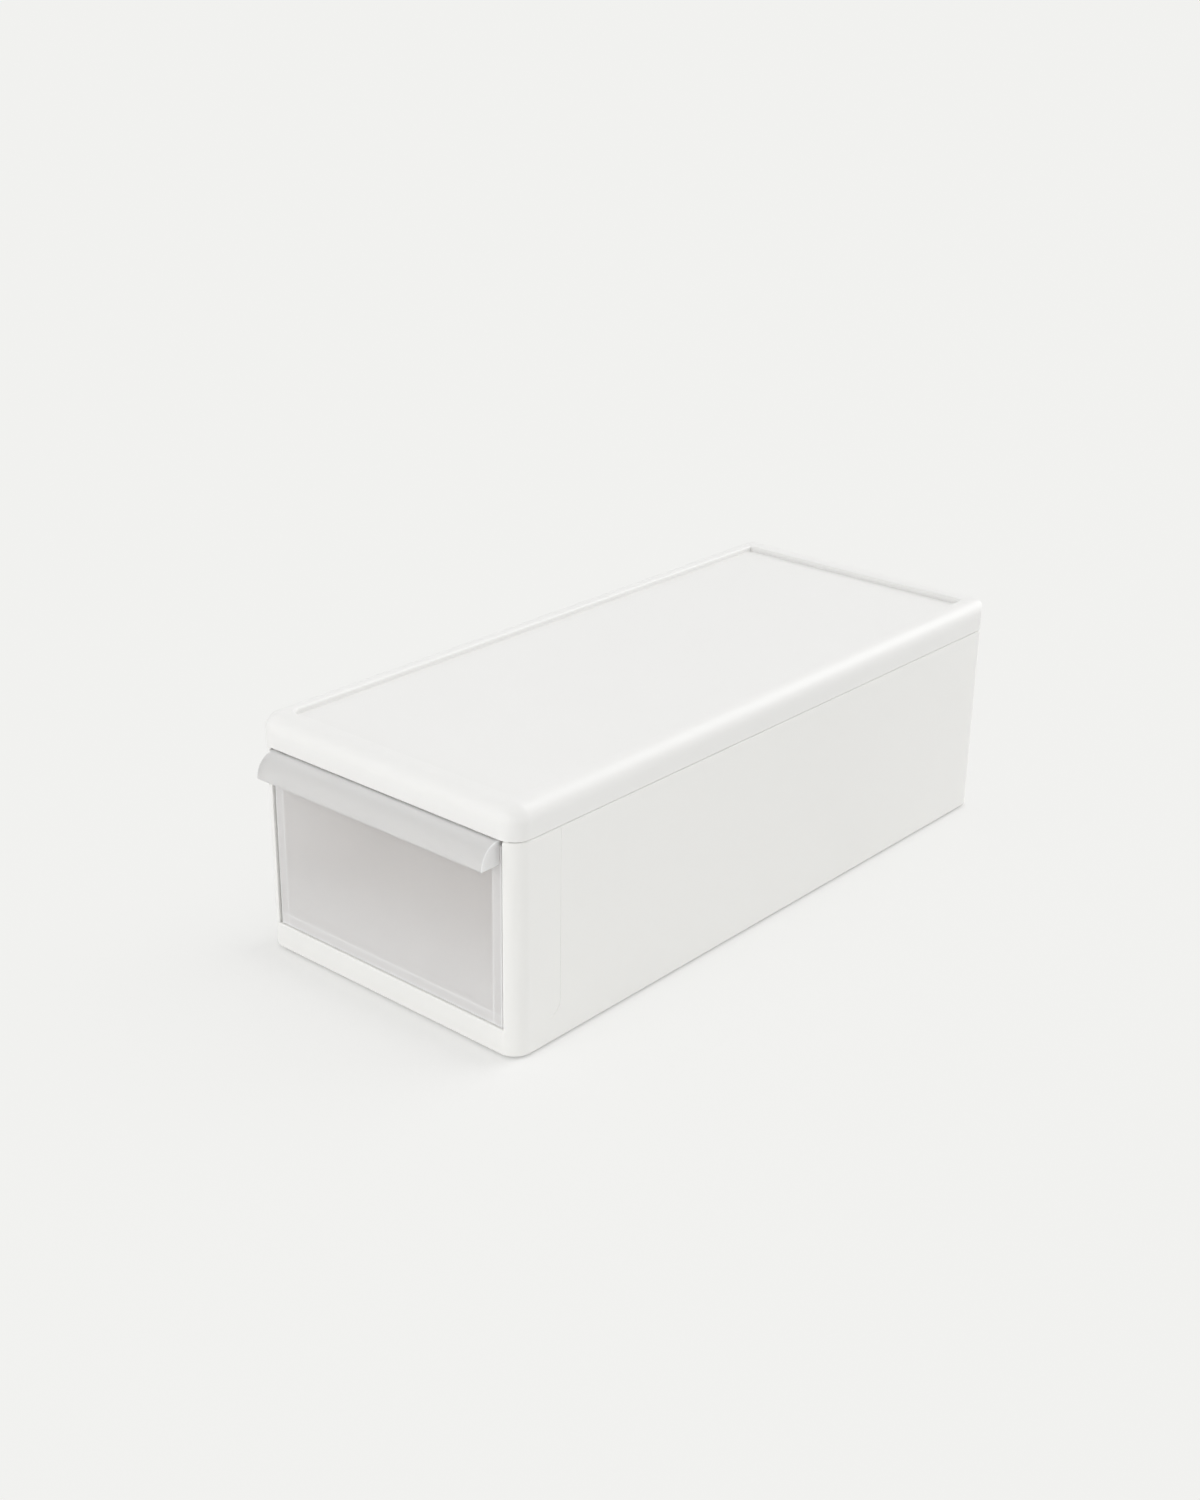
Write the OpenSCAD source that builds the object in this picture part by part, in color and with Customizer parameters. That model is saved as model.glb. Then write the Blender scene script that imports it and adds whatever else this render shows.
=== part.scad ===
// Stackable drawer box: a white moulded case, a white clip-on cover with a stacking
// recess, and one translucent drawer whose front carries a hooded finger lip.
// Millimetres. +X right, +Y to the rear, +Z up. The origin is under the centre of
// the whole box, lip included, on the surface that it stands on.

/* [Case] */
// Width of the case, outside
case_w = 180; // [150:1:240]
// Depth of the case, outside, without the lip
case_d = 408; // [300:1:480]
// Height of the case wall, from its lower edge to the seam under the cover
case_h = 114.8; // [90:0.2:170]
// Thickness of the case walls
case_wall = 2.4; // [2:0.1:3]
// Thickness of the case floor
case_floor = 2.4; // [1.8:0.1:3.2]
// Radius of the two upright corners at the front
front_corner_r = 10.5; // [8:0.1:14]
// Radius of the two upright corners at the back
back_corner_r = 6.5; // [3.5:0.1:9]
// Rounding of the lower outside edge
low_edge_r = 1.2; // [0.6:0.1:2]

/* [Feet] */
// Height of the moulded feet
foot_h = 1.2; // [0.8:0.1:2.2]
// Length of each arm of a foot
foot_arm = 36; // [20:1:60]
// Width of each arm of a foot
foot_w = 7; // [4:0.5:12]
// Play of the feet inside the rim of the box below
stack_gap = 0.8; // [0.4:0.1:1.5]

/* [Front frame] */
// Width of the upright frame on each side of the drawer
column_w = 8.7; // [7:0.1:14]
// Height of the sill under the drawer, from the case's lower edge
sill_h = 14; // [9:0.5:24]
// How far the drawer front stands behind the face of the frame
set_back = 1.2; // [0.5:0.1:4]
// Depth of the return along each upright of the frame
jamb_depth = 14; // [10:0.5:20]
// Depth of the flange along the top of the sill
sill_depth = 10; // [6:0.5:16]

/* [Runners] */
// Thickness of the runner and guide ribs
rail_t = 2; // [1.4:0.1:3]
// Height of the side guides above the runners
guide_h = 14; // [8:1:30]
// Distance from the back wall to the ends of the runners
rail_end_gap = 16; // [8:1:40]
// Number of webs that brace each side guide
web_count = 5; // [2:1:8]
// Number of cross ribs on the case floor
floor_rib_count = 4; // [1:1:8]
// Height of the cross ribs on the case floor
floor_rib_h = 4.5; // [2:0.5:5.5]

/* [Cover] */
// Height of the cover above the seam
cover_h = 17; // [14:0.5:26]
// How far the cover stands proud of the case, all round
cover_lap = 0.4; // [0.1:0.1:1]
// Thickness of the cover
cover_wall = 2.4; // [1.8:0.1:3]
// Rounding of the front and side edges of the cover
cover_edge_r = 9.3; // [6:0.1:10]
// Rounding of the rear edge of the cover
rear_edge_r = 2.5; // [1:0.1:4]
// Radius of the two upright corners at the back of the cover
cover_back_r = 7.9; // [3:0.1:10]
// Width of the rim along each side
rim_side = 12.6; // [11:0.1:18]
// Width of the rim along the front
rim_front = 13.3; // [11:0.1:20]
// Width of the rim along the back
rim_back = 10.4; // [8:0.1:16]
// Depth of the stacking recess inside the rim
recess_depth = 3.2; // [2.4:0.1:5]
// Radius of the recess's front corners
recess_r = 5; // [2:0.5:12]
// Height of the ribs under the cover
cover_rib_h = 4; // [2:0.5:6]
// Thickness of the ribs under the cover
cover_rib_t = 1.6; // [1:0.1:2.4]
// Number of cross ribs under the cover
cover_rib_count = 5; // [1:1:9]

/* [Snap tabs] */
// Number of snap tabs along each side
side_tabs = 3; // [2:1:5]
// Number of snap tabs along the back
back_tabs = 2; // [1:1:3]
// Width of a snap tab
tab_w = 24; // [14:1:32]
// Thickness of a snap tab
tab_t = 1.8; // [1.2:0.1:2.4]
// How far a snap tab reaches below the seam
tab_drop = 9; // [7:0.5:14]
// Play between a snap tab and the case wall
tab_gap = 0.3; // [0.2:0.05:0.6]
// How far the catch stands out of a snap tab
catch_out = 1; // [0.7:0.1:1.2]
// Height of the catch
catch_h = 3; // [2:0.5:4]

/* [Drawer] */
// Thickness of the drawer's side and back walls
drawer_wall = 2; // [1.4:0.1:3]
// Thickness of the drawer's floor
drawer_floor = 2; // [1.4:0.1:3]
// Thickness of the drawer's front
panel_t = 2.4; // [1.8:0.1:3.6]
// Radius of the corners and floor edges inside the drawer
drawer_r = 3.6; // [2:0.2:8]
// Play between the drawer and the frame, each side
side_gap = 1.3; // [0.4:0.1:1.8]
// Play between the drawer and its runners
slide_gap = 0.3; // [0.2:0.05:0.6]
// Gap between the drawer front and the cover
head_gap = 0.8; // [0.5:0.1:1.5]
// How far the drawer's side and back walls end below the top of its front
wall_drop = 3; // [2.6:0.2:12]
// Gap between the closed drawer and the back wall of the case
back_gap = 4; // [2:0.5:10]

/* [Drawer stop] */
// Distance from the face of the case to the back of the stop rib
stop_y = 64; // [40:1:110]
// How far the stop rib reaches below the seam
stop_drop = 3.4; // [3:0.2:5]
// Thickness of the stop rib
stop_t = 2.4; // [1.6:0.1:4]
// Width of the stop rib
stop_w = 136; // [90:2:144]
// Width of each stop ear on the drawer
ear_w = 22; // [10:1:36]
// Distance between the centres of the two stop ears
ear_pitch = 92; // [50:2:100]
// Gap between the stop ears and the seam
ear_gap = 1; // [0.8:0.1:1.6]

/* [Handle lip] */
// Radius of the hooded lip, outside
lip_r = 12; // [9:0.1:18]
// Thickness of the lip
lip_t = 1.8; // [1.2:0.1:2.6]
// Straight drop of the lip below its round
lip_skirt = 0.7; // [0.4:0.1:4]
// How far each end of the lip stops short of the side of the drawer
lip_inset = 1; // [0.5:0.1:8]
// Thickness of the end caps of the lip
cap_t = 1.6; // [1:0.1:2.6]

/* [Hidden] */
$fn = 96;
join = 0.5;  // how deep a rib or boss is rooted in the wall that carries it
over = 2;    // how far a cut runs past the face that it opens
least_r = 0.4; // rounding that is left where a wall takes up a whole corner radius

// planes of the case
lip_out = lip_r - set_back;
front_y = (lip_out - cover_lap - case_d) / 2;
back_y = front_y + case_d;
half_w = case_w / 2;
low_z = foot_h;
seam_z = low_z + case_h;
floor_z = low_z + case_floor;
sill_z = low_z + sill_h;
inner_x = half_w - case_wall;
inner_back_y = back_y - case_wall;
opening_x = half_w - column_w;

// planes of the cover
cover_x = half_w + cover_lap;
cover_front_y = front_y - cover_lap;
cover_back_y = back_y + cover_lap;
top_z = seam_z + cover_h;
recess_z = top_z - recess_depth;
panel_under_z = recess_z - cover_wall;
recess_x = cover_x - rim_side;
recess_front_y = cover_front_y + rim_front;
recess_back_y = cover_back_y - rim_back;

// planes of the drawer
drawer_x = opening_x - side_gap;
drawer_z = sill_z + slide_gap;
drawer_top_z = seam_z - head_gap;
drawer_wall_z = drawer_top_z - wall_drop;
drawer_front_y = front_y + set_back;
drawer_back_y = inner_back_y - back_gap;
drawer_outer_r = drawer_r + drawer_wall;
lip_x = drawer_x - lip_inset;

// runners carry the flat of the drawer's floor, inside its rounded edges
rail_x = drawer_x - drawer_outer_r - rail_t;
rail_back_y = inner_back_y - rail_end_gap;
guide_z = sill_z + guide_h;

// the drawer's travel ends where its ears meet the back of the stop rib
stop_back_y = front_y + stop_y;
ear_front_y = drawer_back_y - drawer_wall;
echo(drawer_travel = ear_front_y - stop_back_y);

// feet stand just inside the rim of a like box below
foot_x = recess_x - stack_gap;
foot_front_y = recess_front_y + stack_gap;
foot_back_y = recess_back_y - stack_gap;

// each snap tab: where the middle of its outer face is, and which way that faces
tab_face_x = inner_x - tab_gap;
tab_face_y = inner_back_y - tab_gap;
tab_low_z = seam_z - tab_drop;
TABS = concat(
  [for (side = [-1, 1], i = [1:side_tabs])
    [side * tab_face_x, front_y + case_d * (i - 0.5) / side_tabs, side > 0 ? 0 : 180]],
  [for (i = [1:back_tabs]) [2 * recess_x * ((i - 0.5) / back_tabs - 0.5), tab_face_y, 90]]);

// ---- shapes that several pieces share ----

// Half a block's outline, from its middle outwards, with the upper corner rounded.
module half_profile(r, h, edge, root = 0) {
  translate([-root, 0]) square([r + root, h - edge]);
  if (r + root > edge) translate([-root, 0]) square([r + root - edge, h]);
  intersection() {
    translate([r - edge, h - edge]) circle(edge);
    square([r, h]);
  }
}

// A block's whole outline, standing on the axis, with both upper corners rounded.
module arch_profile(x, h, edge) {
  translate([-x, 0]) square([2 * x, h - edge]);
  translate([edge - x, 0]) square([2 * (x - edge), h]);
  for (side = [-1, 1]) translate([side * (x - edge), h - edge]) circle(edge);
}

// An outline in the ground plane with its own radius for the front and the back corners.
module plan(x, y0, y1, r_front, r_back) {
  translate([-x, y0 + r_front]) square([2 * x, y1 - r_back - y0 - r_front]);
  translate([r_front - x, y0]) square([2 * (x - r_front), r_front + join]);
  translate([r_back - x, y1 - r_back - join]) square([2 * (x - r_back), r_back + join]);
  for (side = [-1, 1]) {
    translate([side * (x - r_front), y0 + r_front]) circle(r_front);
    translate([side * (x - r_back), y1 - r_back]) circle(r_back);
  }
}

// A block on z 0 with round upright corners and its upper edge rounded all the way round.
module soft_block(x, y0, y1, h, r_front, r_back, edge) {
  translate([0, y1 - r_back, 0]) rotate([90, 0, 0])
    linear_extrude(y1 - r_back - y0 - r_front) arch_profile(x, h, edge);
  translate([x - r_front, y0 + r_front, 0]) rotate([90, 0, -90])
    linear_extrude(2 * (x - r_front)) half_profile(r_front, h, edge, join);
  translate([r_back - x, y1 - r_back, 0]) rotate([90, 0, 90])
    linear_extrude(2 * (x - r_back)) half_profile(r_back, h, edge, join);
  for (side = [-1, 1]) {
    translate([side * (x - r_front), y0 + r_front, 0]) rotate_extrude() half_profile(r_front, h, edge);
    translate([side * (x - r_back), y1 - r_back, 0]) rotate_extrude() half_profile(r_back, h, edge);
  }
}

// The same block upside down: z is its upper face, and the rounded edge is the lower one.
module soft_basin(x, y0, y1, z0, z1, r_front, r_back, edge) {
  translate([0, 0, z1]) mirror([0, 0, 1]) soft_block(x, y0, y1, z1 - z0, r_front, r_back, edge);
}

// A cuboid given by its low and high corners.
module bar(low, high) {
  translate(low) cube(high - low);
}

// ---- case: floor, walls, front frame, runners and feet in one moulding ----

module case_form() {
  soft_basin(half_w, front_y, back_y, low_z, seam_z, front_corner_r, back_corner_r, low_edge_r);
}

module case_hollow() {
  translate([0, 0, floor_z]) linear_extrude(case_h)
    plan(inner_x, front_y + case_wall, inner_back_y,
      front_corner_r - case_wall, max(back_corner_r - case_wall, least_r));
}

// The return that stiffens each upright of the front frame, and the flange along the sill.
module frame_returns() {
  for (side = [0, 1]) mirror([side, 0, 0])
    bar([opening_x, front_y, low_z], [opening_x + case_wall, front_y + jamb_depth, seam_z]);
  bar([-opening_x - join, front_y, sill_z - case_wall], [opening_x + join, front_y + sill_depth, sill_z]);
}

// On each side a runner under the drawer's floor, and a guide beside it with its webs.
module runners() {
  y0 = front_y + case_wall - join;
  for (side = [0, 1]) mirror([side, 0, 0]) {
    bar([rail_x, y0, low_z], [rail_x + rail_t, rail_back_y, sill_z]);
    bar([opening_x, y0, low_z], [opening_x + rail_t, rail_back_y, guide_z]);
    for (i = [1:web_count]) {
      y = front_y + (rail_back_y - front_y) * i / web_count;
      bar([opening_x, y - rail_t, low_z], [inner_x + join, y, guide_z]);
    }
  }
}

module floor_ribs() {
  for (i = [1:floor_rib_count]) {
    y = front_y + case_d * i / (floor_rib_count + 1);
    bar([-rail_x - join, y, low_z], [rail_x + join, y + rail_t, floor_z + floor_rib_h]);
  }
}

// Four L-shaped feet at the corners of one ring.
module feet() {
  intersection() {
    linear_extrude(foot_h + join) difference() {
      plan(foot_x, foot_front_y, foot_back_y, recess_r, least_r);
      plan(foot_x - foot_w, foot_front_y + foot_w, foot_back_y - foot_w, recess_r, recess_r);
    }
    for (x = [-foot_x, foot_x - foot_arm], y = [foot_front_y, foot_back_y - foot_arm])
      translate([x, y, 0]) cube([foot_arm, foot_arm, foot_h + join]);
  }
}

// The pocket in the case wall that one tab's catch springs into.
module catch_pocket() {
  bar([0, -tab_w / 2 - tab_gap, tab_low_z - tab_gap],
    [catch_out + tab_gap, tab_w / 2 + tab_gap, tab_low_z + catch_h + tab_gap]);
}

module case_body() {
  color("whitesmoke") {
    difference() {
      union() {
        difference() {
          case_form();
          case_hollow();
          bar([-opening_x, front_y - over, sill_z], [opening_x, front_y + case_wall + over, seam_z + over]);
        }
        intersection() {
          case_form();
          union() {
            frame_returns();
            runners();
            floor_ribs();
          }
        }
      }
      for (t = TABS) translate([t[0], t[1], 0]) rotate([0, 0, t[2]]) catch_pocket();
    }
    feet();
  }
}

// ---- cover: rim, stacking recess, ribs, stop rib and snap tabs in one moulding ----

// The cover's outside, or with an inset the surface that lies that deep in it. The first
// block rounds the front and the sides, and the second the rear edge and the rear corners.
module cover_form(inset, z0) {
  x = cover_x - inset;
  y0 = cover_front_y + inset;
  y1 = cover_back_y - inset;
  h = top_z - inset - z0;
  r_front = front_corner_r + cover_lap - inset;
  r_rear = max(cover_back_r - inset, least_r);
  edge = cover_edge_r - inset;
  rear_edge = min(max(rear_edge_r - inset, least_r), r_rear);
  translate([0, 0, z0]) intersection() {
    soft_block(x, y0, y1 + 2 * edge, h, r_front, edge, edge);
    soft_block(x, y0 - 2 * r_rear, y1, h, r_rear, r_rear, rear_edge);
  }
}

// The stacking recess, or with a skin the block of plastic that its floor and walls make.
module recess_block(skin) {
  translate([0, 0, recess_z - skin]) linear_extrude(recess_depth + skin + over)
    plan(recess_x + skin, recess_front_y - skin, recess_back_y + skin, recess_r + skin, least_r + skin);
}

module cover_ribs() {
  z0 = panel_under_z - cover_rib_h;
  z1 = panel_under_z + join;
  for (i = [1:cover_rib_count]) {
    y = recess_front_y + (recess_back_y - recess_front_y) * i / (cover_rib_count + 1);
    bar([-recess_x - join, y - cover_rib_t / 2, z0], [recess_x + join, y + cover_rib_t / 2, z1]);
  }
  for (x = [-recess_x / 2, recess_x / 2])
    bar([x - cover_rib_t / 2, recess_front_y, z0], [x + cover_rib_t / 2, recess_back_y, z1]);
  bar([-stop_w / 2, stop_back_y - stop_t, seam_z - stop_drop], [stop_w / 2, stop_back_y, z1]);
}

// A springy tab with a wedge-shaped catch at its foot. Its outer face is at x 0.
module snap_tab() {
  bar([-tab_t, -tab_w / 2, tab_low_z], [0, tab_w / 2, top_z]);
  translate([0, tab_w / 2, tab_low_z]) rotate([90, 0, 0]) linear_extrude(tab_w)
    polygon([[-join, 0], [0, 0], [catch_out, catch_h], [-join, catch_h]]);
}

module top_cover() {
  color("white") {
    difference() {
      cover_form(0, seam_z);
      difference() {
        cover_form(cover_wall, seam_z - over);
        recess_block(cover_wall);
      }
      recess_block(0);
    }
    cover_ribs();
    intersection() {
      for (t = TABS) translate([t[0], t[1], 0]) rotate([0, 0, t[2]]) snap_tab();
      cover_form(cover_wall / 2, tab_low_z - over);
    }
  }
}

// ---- drawer: tray, front, stop ears and hooded lip in one translucent moulding ----

// The front is as wide as the tray up to the tops of its walls, and as wide as the lip above.
module tray() {
  difference() {
    soft_basin(drawer_x, drawer_front_y - drawer_outer_r, drawer_back_y, drawer_z, drawer_wall_z,
      drawer_outer_r, drawer_outer_r, drawer_outer_r);
    bar([-half_w, drawer_front_y - 2 * drawer_outer_r, low_z], [half_w, drawer_front_y, seam_z]);
  }
  bar([-drawer_x, drawer_front_y, drawer_z], [drawer_x, drawer_front_y + panel_t, drawer_wall_z]);
  bar([-lip_x, drawer_front_y, drawer_wall_z - join], [lip_x, drawer_front_y + panel_t, drawer_top_z]);
}

module tray_hollow() {
  soft_basin(drawer_x - drawer_wall, drawer_front_y + panel_t, drawer_back_y - drawer_wall,
    drawer_z + drawer_floor, drawer_wall_z + over, drawer_r, drawer_r, drawer_r);
}

module stop_ears() {
  for (x = [-ear_pitch / 2, ear_pitch / 2])
    bar([x - ear_w / 2, ear_front_y, drawer_wall_z - join], [x + ear_w / 2, drawer_back_y, seam_z - ear_gap]);
}

// The lip's outline from the side, drawn about the centre of its round: a quarter circle
// over a short straight skirt.
module lip_side(r) {
  intersection() {
    circle(r);
    translate([-r, 0]) square([r + join, r]);
  }
  translate([-r, -lip_skirt]) square([r + join, lip_skirt]);
}

// A quarter-round hood with a closed end at each side, open below for the fingers.
module handle_lip() {
  translate([0, drawer_front_y, drawer_top_z - lip_r]) rotate([90, 0, 90]) {
    translate([0, 0, -lip_x]) linear_extrude(2 * lip_x) difference() {
      lip_side(lip_r);
      translate([0, -over]) lip_side(lip_r - lip_t);
      lip_side(lip_r - lip_t);
    }
    for (x = [-lip_x, lip_x - cap_t])
      translate([0, 0, x]) linear_extrude(cap_t) lip_side(lip_r);
  }
}

module drawer() {
  color("gainsboro", 0.7) {
    difference() {
      tray();
      tray_hollow();
    }
    stop_ears();
    handle_lip();
  }
}

case_body();
top_cover();
drawer();
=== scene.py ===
import math

import bmesh
import bpy
from mathutils import Matrix, Quaternion, Vector


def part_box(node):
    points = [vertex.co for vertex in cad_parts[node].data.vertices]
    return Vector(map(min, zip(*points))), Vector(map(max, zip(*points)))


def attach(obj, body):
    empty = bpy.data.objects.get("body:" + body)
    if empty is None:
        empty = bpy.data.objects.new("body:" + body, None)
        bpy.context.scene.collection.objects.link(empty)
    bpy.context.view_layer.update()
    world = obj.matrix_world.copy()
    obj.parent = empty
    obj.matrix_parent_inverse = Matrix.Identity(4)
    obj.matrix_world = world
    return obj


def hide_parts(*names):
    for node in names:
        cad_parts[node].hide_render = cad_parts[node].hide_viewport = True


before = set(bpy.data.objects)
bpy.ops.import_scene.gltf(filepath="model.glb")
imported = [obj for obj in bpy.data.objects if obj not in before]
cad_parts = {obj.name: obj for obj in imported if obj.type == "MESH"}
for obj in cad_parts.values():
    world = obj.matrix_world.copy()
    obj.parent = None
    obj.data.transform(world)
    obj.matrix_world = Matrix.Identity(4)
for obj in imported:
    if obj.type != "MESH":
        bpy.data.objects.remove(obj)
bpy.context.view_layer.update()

# ---- case ----
# The case is one moulding in white satin polypropylene: floor, walls, front frame and,
# inside, the runners and guides that carry the drawer. It stands on four moulded feet,
# and pockets in its walls hold the cover's catches.

MM = 0.001
case_low, case_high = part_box("case_body")
front_y, back_y = case_low.y, case_high.y
half_w = case_high.x
foot_h = 1.2 * MM
low_z, seam_z = case_low.z + foot_h, case_high.z
case_wall = 2.4 * MM
front_corner_r, back_corner_r, low_edge_r = 10.5 * MM, 6.5 * MM, 1.2 * MM
jamb_facets, corner_facets, back_facets, low_edge_facets = 3, 21, 14, 6
hollow_front_facets, hollow_back_facets = 16, 8
sill_h, sill_depth, sill_inset = 14 * MM, 10 * MM, 1 * MM
column_w, jamb_depth, jamb_inset = 8.7 * MM, 14 * MM, 1.5 * MM
opening_edge, opening_reach = 0.5 * MM, 0.7 * MM  # rounding of the opening's edge, and where it ends
seam_gap, seam_depth = 0.7 * MM, 1.7 * MM  # the shadow gap round the top, below the cover
rim_r, rim_facets = 1.2 * MM, 5  # rounding of the case's rim below that gap
root = 0.5 * MM  # how deep a rib is rooted in the wall that carries it
over = 2 * MM  # how far a cut runs past the face that it opens
same, weld = 0.01 * MM, 0.005 * MM  # lengths that count as the same, and points that are merged

floor_z = low_z + case_wall
sill_z = low_z + sill_h
inner_x = half_w - case_wall
inner_back_y = back_y - case_wall
opening_x = half_w - column_w


def near(a, b):
    """Whether two lengths are the same."""
    return abs(a - b) < same


def upright(a, b):
    """Whether an edge between two points stands upright."""
    return near(a.x, b.x) and near(a.y, b.y)


def block(low, high):
    """A cuboid between its low and its high corner."""
    low, high = Vector(low), Vector(high)
    mesh = bmesh.new()
    bmesh.ops.create_cube(mesh, size=1)
    bmesh.ops.scale(mesh, vec=high - low, verts=mesh.verts)
    bmesh.ops.translate(mesh, vec=(low + high) / 2, verts=mesh.verts)
    return mesh


def rounded(mesh, radius, facets, chosen):
    """Rounds the edges that the test picks by their two ends."""
    edges = [edge for edge in mesh.edges if chosen(edge.verts[0].co, edge.verts[1].co)]
    bmesh.ops.bevel(mesh, geom=edges, offset=radius, offset_type="OFFSET", segments=facets,
                    profile=0.5, affect="EDGES", material=-1)
    return mesh


def combined(first, second, operation):
    """Joins, cuts or crosses two closed meshes, and uses both up."""
    pair = []
    for mesh in (first, second):
        data = bpy.data.meshes.new("blank")
        mesh.to_mesh(data)
        mesh.free()
        pair.append(bpy.data.objects.new("blank", data))
        bpy.context.scene.collection.objects.link(pair[-1])
    step = pair[0].modifiers.new("step", "BOOLEAN")
    step.solver = "MANIFOLD"
    step.operation = operation
    step.object = pair[1]
    result = bmesh.new()
    result.from_object(pair[0], bpy.context.evaluated_depsgraph_get())
    for thing in pair:
        data = thing.data
        bpy.data.objects.remove(thing)
        bpy.data.meshes.remove(data)
    bmesh.ops.remove_doubles(result, verts=result.verts, dist=weld)
    return result


def both_sides(mesh):
    """Adds the mirror image on the other side of the middle plane."""
    bmesh.ops.mirror(mesh, geom=mesh.verts[:] + mesh.edges[:] + mesh.faces[:], axis="X",
                     merge_dist=same)
    bmesh.ops.recalc_face_normals(mesh, faces=mesh.faces)
    return mesh


def group(blocks):
    """Several meshes that don't touch, as one."""
    whole = bmesh.new()
    for mesh in blocks:
        data = bpy.data.meshes.new("blank")
        mesh.to_mesh(data)
        mesh.free()
        whole.from_mesh(data)
        bpy.data.meshes.remove(data)
    return whole


def started(point):
    """A mesh with one vertex, from which an outline is drawn, and that vertex."""
    mesh = bmesh.new()
    return mesh, bmesh.ops.create_vert(mesh, co=point)["vert"][0]


def line(mesh, tip, step):
    """Draws a straight line on from the tip, and gives the new tip."""
    tip = bmesh.ops.extrude_vert_indiv(mesh, verts=[tip])["verts"][0]
    bmesh.ops.translate(mesh, vec=step, verts=[tip])
    return tip


def arc(mesh, tip, centre, axis, degrees, facets):
    """Draws an arc on from the tip, and gives the new tip."""
    made = bmesh.ops.spin(mesh, geom=[tip], cent=centre, axis=axis,
                          angle=math.radians(degrees), steps=facets)
    return [part for part in made["geom_last"] if isinstance(part, bmesh.types.BMVert)][0]


def filled(mesh, depth):
    """Closes a drawn outline with a face and pulls it into a solid."""
    bmesh.ops.remove_doubles(mesh, verts=mesh.verts, dist=weld)
    bmesh.ops.contextual_create(mesh, geom=mesh.edges[:])
    pulled = bmesh.ops.extrude_face_region(mesh, geom=mesh.faces[:])["geom"]
    verts = [part for part in pulled if isinstance(part, bmesh.types.BMVert)]
    bmesh.ops.translate(mesh, vec=depth, verts=verts)
    bmesh.ops.recalc_face_normals(mesh, faces=mesh.faces)
    return mesh


def case_form():
    """The case's outside as a solid. One facet of the front corner ends where the opening does."""
    corner_x = half_w - front_corner_r
    to_jamb = math.degrees(math.asin((opening_x - corner_x) / front_corner_r))
    mesh, tip = started((0, front_y, low_z))
    tip = line(mesh, tip, (corner_x, 0, 0))
    centre = (corner_x, front_y + front_corner_r, low_z)
    tip = arc(mesh, tip, centre, (0, 0, 1), to_jamb, jamb_facets)
    tip = arc(mesh, tip, centre, (0, 0, 1), 90 - to_jamb, corner_facets)
    tip = line(mesh, tip, (0, back_y - back_corner_r - front_y - front_corner_r, 0))
    centre = (half_w - back_corner_r, back_y - back_corner_r, low_z)
    tip = arc(mesh, tip, centre, (0, 0, 1), 90, back_facets)
    line(mesh, tip, (back_corner_r - half_w, 0, 0))
    ledge_z = seam_z - seam_gap
    form = filled(both_sides(mesh), (0, 0, ledge_z - low_z))
    top = [face for face in form.faces if near(face.calc_center_median().z, ledge_z)]
    bmesh.ops.inset_region(form, faces=top, thickness=seam_depth, use_even_offset=True)
    raised = bmesh.ops.extrude_face_region(form, geom=top)["geom"]
    bmesh.ops.delete(form, geom=top, context="FACES_ONLY")
    raised = [part for part in raised if isinstance(part, bmesh.types.BMVert)]
    bmesh.ops.translate(form, vec=(0, 0, seam_gap), verts=raised)
    rounded(form, low_edge_r, low_edge_facets, lambda a, b: near(a.z, low_z) and near(b.z, low_z))

    def on_rim(end):
        within = abs(end.x) < half_w - seam_depth + root and end.y < back_y - seam_depth + root
        return near(end.z, ledge_z) and not (within and end.y > front_y + seam_depth - root)

    return rounded(form, rim_r, rim_facets, lambda a, b: on_rim(a) and on_rim(b))


def witness_line():
    """The fine line that the mould's side slides leave: down the side, then forwards."""
    behind_front, above_floor = 31.6 * MM, 14 * MM
    forward, bend, width, depth, facets = 8 * MM, 8 * MM, 0.45 * MM, 0.2 * MM, 8
    line_y = front_y + behind_front
    line_z = low_z + above_floor
    pad = block((half_w - depth, line_y - forward, line_z), (half_w + over, line_y, seam_z + over))
    core = block((half_w - depth - over, line_y - forward - over, line_z + width),
                 (half_w + 2 * over, line_y - width, seam_z + 2 * over))
    rounded(pad, bend - root, facets, lambda a, b: near(a.z, line_z) and near(b.z, line_z)
            and near(a.y, line_y) and near(b.y, line_y))
    rounded(core, bend - root - width, facets, lambda a, b: near(a.z, line_z + width)
            and near(b.z, line_z + width) and near(a.y, line_y - width) and near(b.y, line_y - width))
    return both_sides(combined(pad, core, "DIFFERENCE"))


def case_hollow():
    low = (-inner_x, front_y + case_wall, floor_z)
    mesh = block(low, (inner_x, inner_back_y, seam_z + over))
    rounded(mesh, front_corner_r - case_wall, hollow_front_facets, lambda a, b: upright(a, b) and a.y < 0)
    return rounded(mesh, back_corner_r - case_wall, hollow_back_facets,
                   lambda a, b: upright(a, b) and a.y > 0)


rail_t, rail_end_gap, guide_h = 2 * MM, 16 * MM, 14 * MM
tray_edge_r = 5.6 * MM  # rounding of the drawer's lower edges: the runners stand inside it
rail_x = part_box("drawer")[1].x - tray_edge_r - rail_t
rail_front_y = front_y + case_wall - root
rail_back_y = inner_back_y - rail_end_gap
guide_z = sill_z + guide_h
rib_root_z = floor_z - root
web_count, floor_rib_count = 5, 4
floor_rib_h = 4.5 * MM


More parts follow.
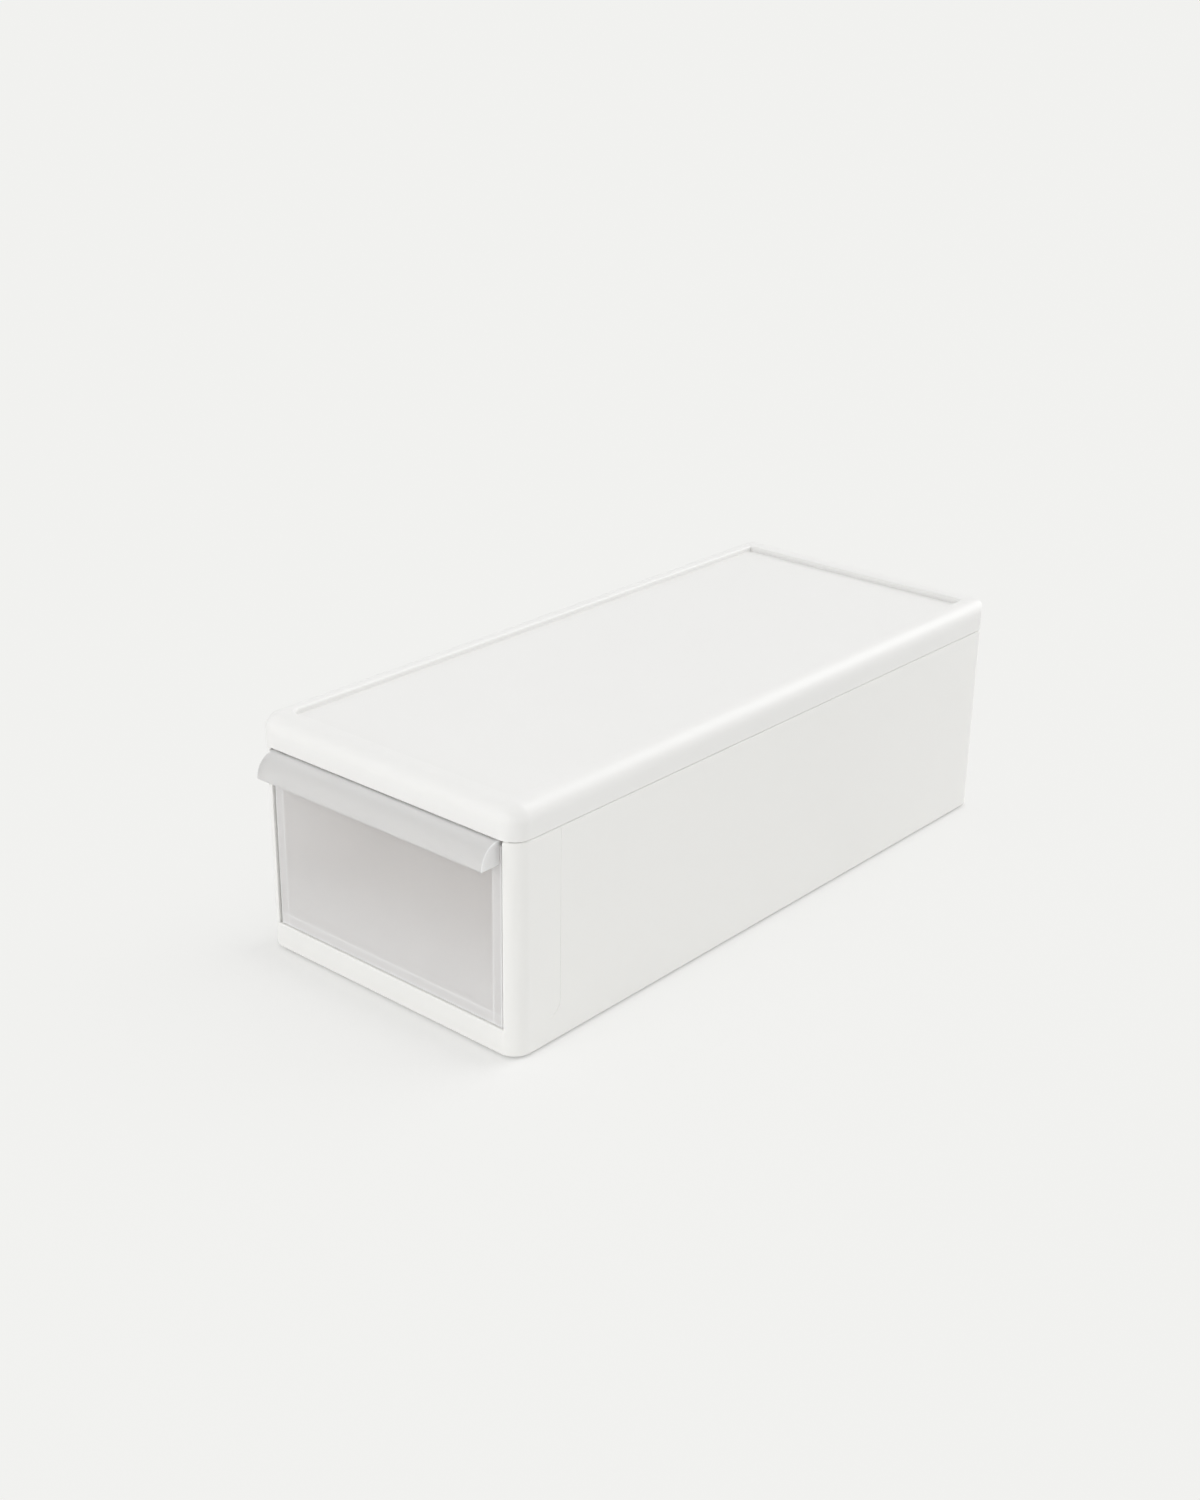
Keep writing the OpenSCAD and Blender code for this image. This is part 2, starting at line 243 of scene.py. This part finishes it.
def frame_and_runners():
    """The parts that stiffen the front frame and carry the drawer, one group after another."""
    jamb = block((opening_x - root, front_y + jamb_inset, rib_root_z),
                 (opening_x + case_wall, front_y + jamb_depth, seam_z))
    yield both_sides(jamb)
    yield block((-opening_x - root, front_y + sill_inset, sill_z - case_wall),
                (opening_x + root, front_y + sill_depth, sill_z + root))
    yield both_sides(block((rail_x, rail_front_y, rib_root_z), (rail_x + rail_t, rail_back_y, sill_z)))
    yield both_sides(block((opening_x, rail_front_y, rib_root_z),
                           (opening_x + rail_t, rail_back_y, guide_z)))
    pitch = (rail_back_y - front_y) / web_count
    webs = [front_y + pitch * (i + 1) for i in range(web_count)]
    yield both_sides(group([block((opening_x + root, y - rail_t, rib_root_z), (inner_x + root, y, guide_z))
                            for y in webs]))
    pitch = (back_y - front_y) / (floor_rib_count + 1)
    ribs = [front_y + pitch * (i + 1) for i in range(floor_rib_count)]
    yield group([block((-rail_x - root, y, rib_root_z), (rail_x + root, y + rail_t, floor_z + floor_rib_h))
                 for y in ribs])


rim_side, rim_front, rim_back = 12.6 * MM, 13.3 * MM, 10.4 * MM
recess_r = 5 * MM
soft_edge, soft_facets = 0.35 * MM, 3  # rounding that the mould leaves on outside edges
cover_low, cover_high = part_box("top_cover")
recess_x = cover_high.x - rim_side
recess_front_y = cover_low.y + rim_front
recess_back_y = cover_high.y - rim_back


def feet():
    """Four L-shaped feet, which drop inside the rim of a like box below."""
    play, foot_w, foot_arm, facets = 0.8 * MM, 7 * MM, 36 * MM, 8
    x = recess_x - play
    y0, y1 = recess_front_y + play, recess_back_y - play
    ring = block((-x, y0, 0), (x, y1, foot_h + root))
    rounded(ring, recess_r, facets, lambda a, b: upright(a, b) and a.y < 0)
    rounded(ring, soft_edge, soft_facets, lambda a, b: near(a.z, 0) and near(b.z, 0))
    middle = block((foot_w - x, y0 + foot_w, -over), (x - foot_w, y1 - foot_w, foot_h + over))
    rounded(middle, recess_r, facets, upright)
    ring = combined(ring, middle, "DIFFERENCE")
    corners = group([block((side - foot_arm / 2, end - foot_arm / 2, -over),
                           (side + foot_arm / 2, end + foot_arm / 2, foot_h + over))
                     for side in (foot_arm / 2 - x, x - foot_arm / 2)
                     for end in (y0 + foot_arm / 2, y1 - foot_arm / 2)])
    return combined(ring, corners, "INTERSECT")


tab_w, tab_gap = 24 * MM, 0.3 * MM
tab_drop, tab_rise = 9 * MM, 6 * MM  # how far a tab reaches below and above the seam
catch_out, catch_h = 1 * MM, 3 * MM
tab_low_z = seam_z - tab_drop
side_tab_count = 3
side_tab_y = [front_y + (back_y - front_y) * (i + 0.5) / side_tab_count for i in range(side_tab_count)]
back_tab_x = [-recess_x / 2, recess_x / 2]


def catch_pockets():
    """The pockets that the cover's catches spring into."""
    reach = catch_out + tab_gap
    half = tab_w / 2 + tab_gap
    z0, z1 = tab_low_z - tab_gap, tab_low_z + catch_h + tab_gap
    pockets = [block((side * inner_x - reach, y - half, z0), (side * inner_x + reach, y + half, z1))
               for side in (-1, 1) for y in side_tab_y]
    pockets += [block((x - half, inner_back_y - reach, z0), (x + half, inner_back_y + reach, z1))
                for x in back_tab_x]
    return group(pockets)


def case_mesh():
    mesh = combined(case_form(), witness_line(), "DIFFERENCE")
    mesh = combined(mesh, case_hollow(), "DIFFERENCE")
    for part in frame_and_runners():
        mesh = combined(mesh, part, "UNION")
    opening = block((-opening_x, front_y - over, sill_z),
                    (opening_x, front_y + jamb_depth + over, seam_z + over))
    mesh = combined(mesh, opening, "DIFFERENCE")

    def at_front(end):
        return end.y < front_y + opening_reach and abs(end.x) < opening_x + same

    def around_opening(a, b):
        on_jamb = near(a.x, b.x) and near(abs(a.x), opening_x)
        on_sill = near(a.z, sill_z) and near(b.z, sill_z)
        return at_front(a) and at_front(b) and (on_jamb or on_sill)

    rounded(mesh, opening_edge, soft_facets, around_opening)
    mesh = combined(mesh, feet(), "UNION")
    return combined(mesh, catch_pockets(), "DIFFERENCE")


class Link:
    """A node's output in a material. Arithmetic on it adds Math nodes."""

    def __init__(self, finish, output):
        self.finish = finish
        self.output = output

    def math(self, operation, first, second):
        return self.finish.node("ShaderNodeMath", {"operation": operation}, {0: first, 1: second})

    def __add__(self, other):
        return self.math("ADD", self, other)

    def __radd__(self, other):
        return self.math("ADD", other, self)

    def __sub__(self, other):
        return self.math("SUBTRACT", self, other)

    def __rsub__(self, other):
        return self.math("SUBTRACT", other, self)

    def __mul__(self, other):
        return self.math("MULTIPLY", self, other)

    def __rmul__(self, other):
        return self.math("MULTIPLY", other, self)

    def __truediv__(self, other):
        return self.math("DIVIDE", self, other)

    def __rtruediv__(self, other):
        return self.math("DIVIDE", other, self)


class Finish:
    """The nodes of a material or of the world."""

    def __init__(self, owner):
        owner.use_nodes = True
        self.owner = owner
        self.tree = owner.node_tree
        self.tree.nodes.clear()

    def node(self, kind, settings, sockets, output=0):
        made = self.tree.nodes.new(kind)
        for key, value in settings.items():
            setattr(made, key, value)
        for key, value in sockets.items():
            if isinstance(value, Link):
                self.tree.links.new(value.output, made.inputs[key])
            else:
                made.inputs[key].default_value = value
        return Link(self, made.outputs[output]) if made.outputs else None

    def noise(self, place, scale, detail):
        """Soft noise from 0 to 1; the scale is in lumps to the metre."""
        return self.node("ShaderNodeTexNoise", {}, {"Vector": place, "Scale": scale, "Detail": detail})

    def ramp(self, value, start, end):
        """Rises softly from 0 to 1 while the value goes from start to end."""
        soft = {"interpolation_type": "SMOOTHSTEP"}
        return self.node("ShaderNodeMapRange", soft, {0: value, 1: start, 2: end})

    def along(self, place, axis):
        """One coordinate of a place: 0 is x, 1 is y and 2 is z."""
        return self.node("ShaderNodeSeparateXYZ", {}, {0: place}, axis)

    def bump(self, height, depth, normal=None):
        """A raised pattern of that depth in metres, over another one if there is one."""
        sockets = {"Height": height, "Distance": depth, "Strength": 1.0}
        if normal:
            sockets["Normal"] = normal
        return self.node("ShaderNodeBump", {}, sockets)


def blended(finish, share, colour, other):
    """A colour that goes from one to the other with the share."""
    ends = [end if isinstance(end, Link) else (*end, 1) for end in (colour, other)]
    return finish.node("ShaderNodeMix", {"data_type": "RGBA"}, {0: share, 6: ends[0], 7: ends[1]}, 2)


polypropylene_ior = 1.49


def satin_plastic(name, colour, other, roughness, grain_depth):
    """White polypropylene from an eroded mould: a fine grain, and light gets a little way in."""
    cloud_scale, grain_scale, wave_scale = 14.0, 2600.0, 22.0
    cloud_polish, grain_polish = 0.08, 0.05  # how far each of them changes the roughness
    wave_depth, light_depth = 0.05 * MM, 0.8 * MM
    finish = Finish(bpy.data.materials.new(name))
    place = finish.node("ShaderNodeTexCoord", {}, {}, "Object")
    cloud = finish.noise(place, cloud_scale, 3.0)
    grain = finish.noise(place, grain_scale, 3.0)
    wave = finish.noise(place, wave_scale, 1.0)
    shader = finish.node("ShaderNodeBsdfPrincipled", {}, {
        "Base Color": blended(finish, cloud, colour, other),
        "Roughness": roughness + cloud_polish * (cloud - 0.5) + grain_polish * (grain - 0.5),
        "IOR": polypropylene_ior,
        "Subsurface Weight": 1.0,
        "Subsurface Scale": light_depth,
        "Subsurface Radius": (1, 1, 1),
        "Normal": finish.bump(grain, grain_depth, finish.bump(wave, wave_depth)),
    })
    finish.node("ShaderNodeOutputMaterial", {}, {"Surface": shader})
    return finish.owner


smooth_below = math.radians(38)  # edges flatter than this are shaded smooth


def finished(name, mesh, material, body, node):
    """A piece in place: its mesh, its smooth shading and what it stands for in the frame."""
    data = bpy.data.meshes.new(name)
    mesh.to_mesh(data)
    mesh.free()
    data.shade_smooth()
    data.set_sharp_from_angle(angle=smooth_below)
    data.materials.append(material)
    piece = bpy.data.objects.new(name, data)
    bpy.context.scene.collection.objects.link(piece)
    even = piece.modifiers.new("even shading", "WEIGHTED_NORMAL")
    even.keep_sharp = True
    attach(piece, body)
    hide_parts(node)


case_colour, case_cloud = (0.888, 0.884, 0.862), (0.906, 0.902, 0.88)
case_roughness, case_grain = 0.36, 0.012 * MM
case_satin = satin_plastic("case_satin", case_colour, case_cloud, case_roughness, case_grain)
finished("case_moulding", case_mesh(), case_satin, "case", "case_body")

# ---- drawer ----
# The drawer is one moulding in natural, frosted polypropylene: a tray with round inner
# edges, a flat front with a hooded finger lip along its top, and two ears on the back
# wall that meet the cover's stop rib. It slides on the case's runners.

drawer_low, drawer_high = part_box("drawer")
drawer_x, drawer_z, drawer_top_z = drawer_high.x, drawer_low.z, drawer_high.z
lip_r, lip_t, lip_skirt, lip_inset, cap_t = 12 * MM, 1.8 * MM, 0.7 * MM, 1 * MM, 1.6 * MM
lip_facets = 28
drawer_front_y, drawer_back_y = drawer_low.y + lip_r, drawer_high.y
drawer_wall, drawer_floor, panel_t = 2 * MM, 2 * MM, 2.4 * MM
drawer_r, drawer_facets = tray_edge_r - drawer_wall, 12  # rounding of the tray's inner edges
wall_drop, ear_drop = 3 * MM, 1 * MM  # how far the walls end below the front, and the ears below the seam
drawer_wall_z = drawer_top_z - wall_drop
lip_x = drawer_x - lip_inset
ear_w, ear_pitch, ear_top_z = 22 * MM, 92 * MM, seam_z - ear_drop


def tray():
    """The tray, still solid; its lower edges and its back corners are round."""
    start_y = drawer_front_y + panel_t / 2
    mesh = block((-drawer_x, start_y, drawer_z), (drawer_x, drawer_back_y, drawer_wall_z))

    def round_edge(a, b):
        along_floor = near(a.z, drawer_z) and near(b.z, drawer_z)
        at_front = near(a.y, start_y) and near(b.y, start_y)
        return (along_floor or upright(a, b)) and not at_front

    return rounded(mesh, tray_edge_r, drawer_facets, round_edge)


def front_panel():
    """The flat front, a little narrower above the walls of the tray."""
    mesh, tip = started((0, drawer_front_y, drawer_z))
    tip = line(mesh, tip, (drawer_x, 0, 0))
    tip = line(mesh, tip, (0, 0, drawer_wall_z - drawer_z))
    tip = line(mesh, tip, (-lip_inset, 0, 0))
    tip = line(mesh, tip, (0, 0, drawer_top_z - drawer_wall_z))
    line(mesh, tip, (-lip_x, 0, 0))
    return filled(both_sides(mesh), (0, panel_t, 0))


def tray_hollow():
    inside = drawer_x - drawer_wall
    bottom = drawer_z + drawer_floor
    mesh = block((-inside, drawer_front_y + panel_t, bottom),
                 (inside, drawer_back_y - drawer_wall, drawer_top_z + over))
    return rounded(mesh, drawer_r, drawer_facets,
                   lambda a, b: upright(a, b) or (near(a.z, bottom) and near(b.z, bottom)))


def lip_solid(radius, half, behind, below):
    """A quarter round over a skirt, seen from the side, pulled from side to side."""
    centre = Vector((-half, drawer_front_y, drawer_top_z - lip_r))
    mesh, first = started(centre + Vector((0, behind, radius)))
    tip = line(mesh, first, (0, -behind, 0))
    tip = arc(mesh, tip, centre, (1, 0, 0), 90, lip_facets)
    tip = line(mesh, tip, (0, 0, -lip_skirt - below))
    tip = line(mesh, tip, (0, radius + behind, 0))
    bmesh.ops.contextual_create(mesh, geom=[tip, first])
    return filled(mesh, (2 * half, 0, 0))


sharp_above = math.radians(50)  # outward edges sharper than this are rounded


def drawer_mesh():
    lip = combined(lip_solid(lip_r, lip_x, root, 0),
                   lip_solid(lip_r - lip_t, lip_x - cap_t, over, over), "DIFFERENCE")
    mesh = combined(tray(), front_panel(), "UNION")
    mesh = combined(mesh, lip, "UNION")
    mesh = combined(mesh, tray_hollow(), "DIFFERENCE")
    ear_low = drawer_wall_z - root
    ears = group([block((x - ear_w / 2, drawer_back_y - drawer_wall, ear_low),
                        (x + ear_w / 2, drawer_back_y, ear_top_z)) for x in (-ear_pitch / 2, ear_pitch / 2)])
    mesh = combined(mesh, ears, "UNION")
    sharp = [edge for edge in mesh.edges if edge.calc_face_angle_signed(0) > sharp_above]
    bmesh.ops.bevel(mesh, geom=sharp, offset=soft_edge, offset_type="OFFSET", segments=soft_facets,
                    profile=0.5, affect="EDGES", material=-1)
    return mesh


def frosted_plastic(name, thin, hood, milky_lit):
    """Uncoloured polypropylene that lets some light through, mixed with a lighter, milky copy of
    itself: painted light low in the front and towards its left, along the walls and edges seen
    through it, at its outer edges, and over the lip's ends and top."""
    cloud_scale, grain_scale, grain_depth = 18.0, 1800.0, 0.02 * MM
    roughness, polish, light_depth, clearness = 0.33, 0.06, 2 * MM, 0.45
    fade_from, fade_to, foot = 84 * MM, 20 * MM, 0.7 * MM
    soft, lip_from, lip_to, crown_h = 0.3 * MM, 0.1 * MM, 0.5 * MM, 3 * MM
    # how much of the lighter milky copy each place gets, from 0 to 1, mostly painted light: first on the
    # front, then on the hood, then anywhere
    thinnest, painted_light_low, painted_light_left, painted_light_under_floor, painted_see_through_line, rim = 0.05, 0.32, 0.45, 0.1, 0.45, 0.42
    hood_thinnest, painted_light_hood_ends, painted_light_hood_top = 0.14, 0.6, 0.35
    cloudiness = 0.06
    finish = Finish(bpy.data.materials.new(name))
    place = finish.node("ShaderNodeTexCoord", {}, {}, "Object")
    cloud = finish.noise(place, cloud_scale, 3.0)
    grain = finish.noise(place, grain_scale, 3.0)
    sideways, fore, up = (finish.along(place, axis) for axis in range(3))
    across = sideways.math("ABSOLUTE", sideways, 0.0)
    wall_at, floor_at = drawer_x - tray_edge_r, drawer_z + tray_edge_r + foot

    def painted_see_through_band(value, middle):
        """A narrow painted line of see-through light where a round edge behind the front begins."""
        rise = finish.ramp(value, middle - 2 * soft, middle)
        return rise * finish.ramp(value, middle + 2 * soft, middle)

    # painted light: the front grows lighter low down and towards its left
    low = finish.ramp(up, fade_from, fade_to)
    low = low.math("MAXIMUM", low, painted_light_left * finish.ramp(sideways, 0.0, -drawer_x))
    # painted see-through light: lighter where the side walls stand behind the front, with thin lines where
    # the round edges behind it begin
    walls = finish.ramp(across, wall_at - soft, wall_at + soft)
    # painted light: the front is lighter below the tray's floor
    floor = finish.ramp(up, floor_at + soft, floor_at - soft)
    painted_see_through_lines = painted_see_through_band(across, wall_at) + painted_see_through_band(up, floor_at)
    # painted light: the front is lighter along its side and bottom edges, where the frame shades it
    painted_light_edges = finish.ramp(across, drawer_x - 4 * soft, drawer_x - soft)
    painted_light_edges = painted_light_edges + finish.ramp(up, drawer_z + 7 * soft, drawer_z + soft)
    in_front = thinnest + painted_light_low * low.math("MAXIMUM", low, walls)
    in_front = in_front + painted_light_under_floor * floor + painted_see_through_line * painted_see_through_lines + rim * painted_light_edges
    # painted light: the hood is lighter at its ends and along its top
    lip = finish.ramp(fore, drawer_front_y - lip_from, drawer_front_y - lip_to)
    ends = finish.ramp(across, lip_x - 2 * soft, lip_x - soft)
    painted_light_top_mask = finish.ramp(up, drawer_top_z - crown_h, drawer_top_z)
    in_hood = hood_thinnest + painted_light_hood_ends * ends + painted_light_hood_top * painted_light_top_mask
    share = in_front + lip * (in_hood - in_front) + cloudiness * (cloud - 0.5)
    both = {
        "Roughness": roughness + polish * (cloud - 0.5),
        "IOR": polypropylene_ior,
        "Subsurface Weight": 1.0,
        "Subsurface Scale": light_depth,
        "Subsurface Radius": (1, 1, 1),
        "Normal": finish.bump(grain, grain_depth),
    }
    clear = finish.node("ShaderNodeBsdfPrincipled", {}, {
        "Base Color": blended(finish, lip, thin, hood),
        "Transmission Weight": clearness,
    } | both)
    # the lighter milky copy that the painted light mask brings in
    milky = finish.node("ShaderNodeBsdfPrincipled", {}, {"Base Color": (*milky_lit, 1)} | both)
    mixed = finish.node("ShaderNodeMixShader", {}, {0: share, 1: clear, 2: milky})
    finish.node("ShaderNodeOutputMaterial", {}, {"Surface": mixed})
    return finish.owner


# the third colour is the lighter milky copy used for the painted light
thin_colour, hood_colour, milky_lit_colour = (0.88, 0.85, 0.832), (0.86, 0.853, 0.842), (0.94, 0.935, 0.925)
natural = frosted_plastic("drawer_natural", thin_colour, hood_colour, milky_lit_colour)
finished("drawer_moulding", drawer_mesh(), natural, "drawer_body", "drawer")

# ---- cover ----
# The cover is one moulding in white satin polypropylene. It is clipped on the case by
# five springy tabs, its recess takes the feet of the next box, and below it are ribs and
# the rib that stops the drawer.

cover_x = cover_high.x
cover_front_y, cover_back_y, top_z = cover_low.y, cover_high.y, cover_high.z
cover_wall, recess_depth = 2.4 * MM, 3.2 * MM
cover_lap = cover_x - half_w
cover_edge_r, rear_edge_r, cover_back_r = 9.3 * MM, 2.5 * MM, 7.9 * MM
least_r, seam_edge = 0.4 * MM, 0.15 * MM
cover_corner_facets, cover_edge_facets = 28, 24
rear_corner_facets, rear_edge_facets = 18, 8
recess_edge, recess_edge_facets = 1.4 * MM, 6  # rounding of the recess's upper edge
recess_foot_r, recess_foot_facets = 0.5 * MM, 5  # and of the edge round its floor
recess_facets = 10
recess_z = top_z - recess_depth
panel_under_z = recess_z - cover_wall
cover_rib_t, cover_rib_h, cover_rib_count = 1.6 * MM, 4 * MM, 5
stop_w, stop_t, stop_drop = 136 * MM, 2.4 * MM, 3.4 * MM
stop_back_y = front_y + 64 * MM
tab_t = 1.8 * MM


def cover_form(inset, z0):
    """The cover's outside, or the surface that lies that deep in it, as a solid from z0 up."""
    x, y0, y1, z1 = cover_x - inset, cover_front_y + inset, cover_back_y - inset, top_z - inset
    edge = cover_edge_r - inset
    rear_r = max(cover_back_r - inset, least_r)
    rear_edge = min(max(rear_edge_r - inset, least_r), rear_r)
    fore = block((-x, y0, z0), (x, y1 + 2 * edge, z1))
    rounded(fore, front_corner_r + cover_lap - inset, cover_corner_facets,
            lambda a, b: upright(a, b) and a.y < 0)
    rounded(fore, edge, cover_edge_facets,
            lambda a, b: near(a.z, z1) and near(b.z, z1) and min(a.y, b.y) < y1)
    rear = block((-x, y0 - 2 * edge, z0), (x, y1, z1))
    rounded(rear, rear_r, rear_corner_facets, lambda a, b: upright(a, b) and a.y > 0)
    rounded(rear, rear_edge, rear_edge_facets,
            lambda a, b: near(a.z, z1) and near(b.z, z1) and max(a.y, b.y) > y0)
    return combined(fore, rear, "INTERSECT")


def recess_block(skin, low_edge):
    """The recess, or with a skin the block of plastic that its floor and walls make."""
    z0 = recess_z - skin
    mesh = block((-recess_x - skin, recess_front_y - skin, z0),
                 (recess_x + skin, recess_back_y + skin, top_z + over))
    rounded(mesh, recess_r + skin, recess_facets, lambda a, b: upright(a, b) and a.y < 0)
    if low_edge:
        rounded(mesh, low_edge, recess_foot_facets, lambda a, b: near(a.z, z0) and near(b.z, z0))
    return mesh


def cover_ribs():
    """The ribs below the panel, one group after another, and last the drawer's stop."""
    z0, z1 = panel_under_z - cover_rib_h, panel_under_z + root
    half_t = cover_rib_t / 2
    pitch = (recess_back_y - recess_front_y) / (cover_rib_count + 1)
    across = [recess_front_y + pitch * (i + 1) for i in range(cover_rib_count)]
    yield group([block((-recess_x - root, y - half_t, z0), (recess_x + root, y + half_t, z1))
                 for y in across])
    yield group([block((x - half_t, recess_front_y, z0), (x + half_t, recess_back_y, z1))
                 for x in (-recess_x / 2, recess_x / 2)])
    yield block((-stop_w / 2, stop_back_y - stop_t, seam_z - stop_drop), (stop_w / 2, stop_back_y, z1))


def snap_tab(face, turn):
    """A tab with its wedge-shaped catch, its face at a point and turned about the upright."""
    mesh, first = started((-tab_t, -tab_w / 2, tab_low_z))
    tip = line(mesh, first, (tab_t, 0, 0))
    tip = line(mesh, tip, (catch_out, 0, catch_h))
    tip = line(mesh, tip, (-catch_out, 0, 0))
    tip = line(mesh, tip, (0, 0, tab_drop + tab_rise - catch_h))
    tip = line(mesh, tip, (-tab_t, 0, 0))
    bmesh.ops.contextual_create(mesh, geom=[tip, first])
    filled(mesh, (0, tab_w, 0))
    turned = Matrix.Rotation(math.radians(turn), 3, "Z")
    bmesh.ops.rotate(mesh, cent=(0, 0, 0), matrix=turned, verts=mesh.verts)
    bmesh.ops.translate(mesh, vec=(*face, 0), verts=mesh.verts)
    return mesh


def cover_mesh():
    mesh = cover_form(0, seam_z)
    rounded(mesh, seam_edge, soft_facets, lambda a, b: near(a.z, seam_z) and near(b.z, seam_z))
    hollow = combined(cover_form(cover_wall, seam_z - over), recess_block(cover_wall, 0), "DIFFERENCE")
    mesh = combined(mesh, hollow, "DIFFERENCE")
    mesh = combined(mesh, recess_block(0, recess_foot_r), "DIFFERENCE")

    def on_recess(end):
        inside_y = recess_front_y - same < end.y < recess_back_y + same
        return near(end.z, top_z) and abs(end.x) < recess_x + same and inside_y

    rounded(mesh, recess_edge, recess_edge_facets, lambda a, b: on_recess(a) and on_recess(b))
    for part in cover_ribs():
        mesh = combined(mesh, part, "UNION")
    tabs = [snap_tab((inner_x - tab_gap, y), 0) for y in side_tab_y]
    tabs += [snap_tab((tab_gap - inner_x, y), 180) for y in side_tab_y]
    tabs += [snap_tab((x, inner_back_y - tab_gap), 90) for x in back_tab_x]
    return combined(mesh, group(tabs), "UNION")


cover_colour, cover_cloud = (0.864, 0.86, 0.845), (0.884, 0.88, 0.865)
cover_roughness, cover_grain = 0.38, 0.01 * MM
cover_satin = satin_plastic("cover_satin", cover_colour, cover_cloud, cover_roughness, cover_grain)
finished("cover_moulding", cover_mesh(), cover_satin, "case", "top_cover")

# ---- floor, light and camera ----
# A plain pale floor that runs past the picture, an even dome of light with soft lamps,
# and a camera at the photograph's angle and distance.

floor_reach = 40  # metres from the middle, past the edges of every view
floor_colour, backdrop = (0.92, 0.92, 0.91, 1), (0.882, 0.882, 0.865, 1)
beside_share, fade = 0.3, 12 * MM  # the backdrop's share beside the box, and how soon it grows
dome_strength = 0.7

stage = bmesh.new()
bmesh.ops.create_grid(stage, x_segments=1, y_segments=1, size=floor_reach)
stage_data = bpy.data.meshes.new("floor")
stage.to_mesh(stage_data)
stage.free()


def shown(finish):
    """1 for the rays that show the backdrop: the camera's own, and those off or through a piece."""
    rays = [finish.node("ShaderNodeLightPath", {}, {}, name)
            for name in ("Is Camera Ray", "Is Glossy Ray", "Is Transmission Ray")]
    direct = rays[0].math("MAXIMUM", rays[0], rays[1])
    return direct.math("MAXIMUM", direct, rays[2])


pale = Finish(bpy.data.materials.new("pale_floor"))
matt = pale.node("ShaderNodeBsdfDiffuse", {}, {"Color": floor_colour})
plain = pale.node("ShaderNodeEmission", {}, {"Color": backdrop, "Strength": 1.0})
there = pale.node("ShaderNodeTexCoord", {}, {}, "Object")
across = pale.node("ShaderNodeVectorMath", {"operation": "ABSOLUTE"}, {0: there})
clear = pale.node("ShaderNodeVectorMath", {"operation": "SUBTRACT"}, {0: across, 1: (half_w, back_y, 0)})
clear = pale.node("ShaderNodeVectorMath", {"operation": "MAXIMUM"}, {0: clear, 1: (0, 0, 0)})
away = pale.node("ShaderNodeVectorMath", {"operation": "LENGTH"}, {0: clear}, 1)
share = beside_share + (1 - beside_share) * (away / (away + fade))
mixed = pale.node("ShaderNodeMixShader", {}, {0: share * shown(pale), 1: matt, 2: plain})
pale.node("ShaderNodeOutputMaterial", {}, {"Surface": mixed})
stage_data.materials.append(pale.owner)
ground = bpy.data.objects.new("floor", stage_data)
bpy.context.scene.collection.objects.link(ground)


def towards(azimuth, elevation):
    """The direction of a point round the box: azimuth 0 is in front of it and 90 at its right."""
    a, e = math.radians(azimuth), math.radians(elevation)
    return Vector((math.sin(a) * math.cos(e), -math.cos(a) * math.cos(e), math.sin(e)))


dome = Finish(bpy.data.worlds.new("dome"))
soft_light = dome.node("ShaderNodeBackground", {}, {"Color": (1, 1, 1, 1), "Strength": dome_strength})
plain = dome.node("ShaderNodeBackground", {}, {"Color": backdrop, "Strength": 1.0})
mixed = dome.node("ShaderNodeMixShader", {}, {0: shown(dome), 1: soft_light, 2: plain})
dome.node("ShaderNodeOutputWorld", {}, {"Surface": mixed})
bpy.context.scene.world = dome.owner


def lamp(name, azimuth, elevation, distance, length, width, light):
    """A soft box that faces the middle of the box, its long side level."""
    data = bpy.data.lights.new(name, "AREA")
    data.shape = "RECTANGLE"
    data.size = length
    data.size_y = width
    data.energy = light * math.pi * distance ** 2
    thing = bpy.data.objects.new(name, data)
    way = towards(azimuth, elevation)
    thing.location = way * distance
    thing.rotation_mode = "QUATERNION"
    thing.rotation_quaternion = way.to_track_quat("Z", "Y")
    thing.visible_camera = False
    bpy.context.scene.collection.objects.link(thing)


lamp("front_low", azimuth=0, elevation=16, distance=1.1, length=0.8, width=0.8, light=0.62)
lamp("front_left", azimuth=-35, elevation=45, distance=2.0, length=1.5, width=1.5, light=0.22)
lamp("back_right", azimuth=157, elevation=38, distance=4.0, length=2.6, width=2.6, light=1.12)

eye = Vector((0.6595, -0.7997, 0.5164))
back = towards(azimuth=40.82, elevation=23.06)
roll = math.radians(0.78)
focal_px, long_px = 2011.75, 1500  # focal length and longer side, in the photograph's pixels
sensor_mm, far = 36, 100
camera = bpy.data.objects.new("camera", bpy.data.cameras.new("camera"))
camera.data.sensor_width = sensor_mm
camera.data.lens = focal_px * sensor_mm / long_px
camera.data.clip_end = far
camera.location = eye
camera.rotation_mode = "QUATERNION"
camera.rotation_quaternion = (-back).to_track_quat("-Z", "Y") @ Quaternion((0, 0, 1), roll)
bpy.context.scene.collection.objects.link(camera)
bpy.context.scene.camera = camera
bpy.context.scene.view_settings.view_transform = "Standard"
